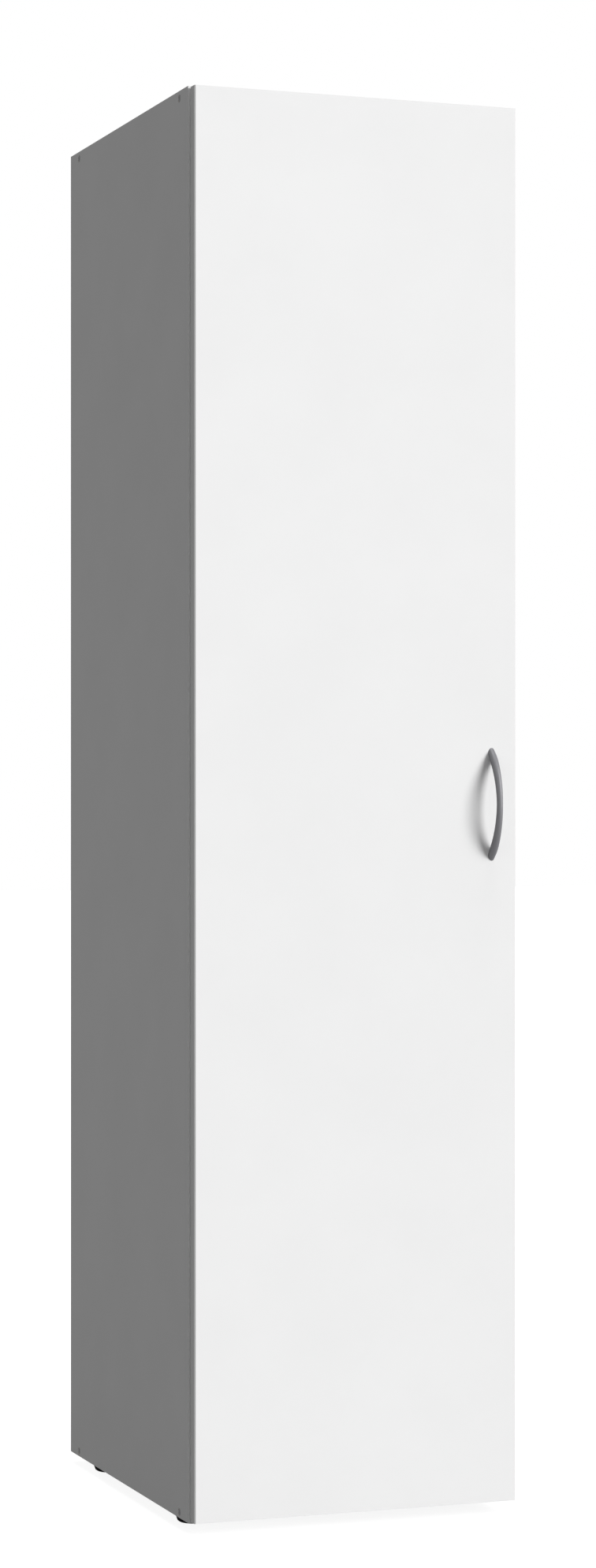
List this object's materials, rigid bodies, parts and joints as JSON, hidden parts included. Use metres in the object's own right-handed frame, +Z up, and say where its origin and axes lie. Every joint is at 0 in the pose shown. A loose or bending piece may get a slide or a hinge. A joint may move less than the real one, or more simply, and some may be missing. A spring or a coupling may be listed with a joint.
{
  "type": "cupboard",
  "caption": "Tall narrow cupboard in coated board: white door on concealed hinges with a satin bow handle, grey carcass, shelves inside and low black feet",
  "frame": {"origin": "on the floor, midway across the width and midway between the handle's front and the rear", "axes": "+X right as seen from the front, +Y to the back, +Z up; the door faces -Y"},
  "size_m": [0.45, 0.5714, 1.85],
  "materials": {
    "carcass_board": "grey melamine coating on particle board, fine matt texture",
    "shelf_board": "grey melamine coating on particle board, edged at the front",
    "hardboard": "thin hardboard, grey inside and raw brown behind",
    "door_board": "white melamine coating on particle board, satin",
    "door_edging": "grey plastic edging",
    "handle_metal": "satin silver lacquer",
    "hinge_steel": "nickel plated pressed steel",
    "plated_steel": "nickel plated steel",
    "screw_steel": "zinc plated steel",
    "foot_plastic": "black moulded plastic",
    "bumper_rubber": "clear soft pad"
  },
  "bodies": {
    "root": {"left_side": "carcass_board", "right_side": "carcass_board", "bottom_panel": "carcass_board", "top_panel": "carcass_board", "shelf_lower": "shelf_board", "shelf_mid_lower": "shelf_board", "fixed_shelf": "shelf_board", "shelf_upper": "shelf_board", "back_panel": "hardboard", "shelf_cam_left_front": "plated_steel", "foot_front_left": "foot_plastic", "case_screw_left_top_front": "screw_steel", "case_screw_left_bottom_front": "screw_steel", "pin_shelf_lower_left_front": "plated_steel", "pin_shelf_mid_lower_left_front": "plated_steel", "pin_shelf_upper_left_front": "plated_steel", "shelf_cam_left_rear": "plated_steel", "foot_rear_left": "foot_plastic", "case_screw_left_top_rear": "screw_steel", "case_screw_left_bottom_rear": "screw_steel", "pin_shelf_lower_left_rear": "plated_steel", "pin_shelf_mid_lower_left_rear": "plated_steel", "pin_shelf_upper_left_rear": "plated_steel", "shelf_cam_right_front": "plated_steel", "foot_front_right": "foot_plastic", "case_screw_right_top_front": "screw_steel", "case_screw_right_bottom_front": "screw_steel", "pin_shelf_lower_right_front": "plated_steel", "pin_shelf_mid_lower_right_front": "plated_steel", "pin_shelf_upper_right_front": "plated_steel", "shelf_cam_right_rear": "plated_steel", "foot_rear_right": "foot_plastic", "case_screw_right_top_rear": "screw_steel", "case_screw_right_bottom_rear": "screw_steel", "pin_shelf_lower_right_rear": "plated_steel", "pin_shelf_mid_lower_right_rear": "plated_steel", "pin_shelf_upper_right_rear": "plated_steel", "hinge_arm_lower": "hinge_steel", "hinge_plate_lower": "hinge_steel", "hinge_arm_middle": "hinge_steel", "hinge_plate_middle": "hinge_steel", "hinge_arm_upper": "hinge_steel", "hinge_plate_upper": "hinge_steel"},
    "hinge_links": {"hinge_link_lower": "hinge_steel", "hinge_link_middle": "hinge_steel", "hinge_link_upper": "hinge_steel"},
    "door": {"door_panel": "door_board", "door_edging_left": "door_edging", "door_edging_right": "door_edging", "door_edging_top": "door_edging", "door_edging_bottom": "door_edging", "bow_handle": "handle_metal", "handle_screw_upper": "screw_steel", "handle_screw_lower": "screw_steel", "door_bumper_upper": "bumper_rubber", "door_bumper_lower": "bumper_rubber", "hinge_cup_lower": "hinge_steel", "hinge_cup_middle": "hinge_steel", "hinge_cup_upper": "hinge_steel"}
  },
  "joints": [
    {"name": "link_swing", "type": "hinge", "parent": "root", "child": "hinge_links", "pos_m": [-0.1888, -0.2458, 0.9325], "axis": [0, 0, 1], "range_deg": [0, 50]},
    {"name": "door_swing", "type": "hinge", "parent": "hinge_links", "child": "door", "pos_m": [-0.2075, -0.2425, 0.9325], "axis": [0, 0, -1], "range_deg": [0, 140]}
  ],
  "couplings": [
    {"joint": "link_swing", "follows": "door_swing", "ratio": 0.35714}
  ]
}
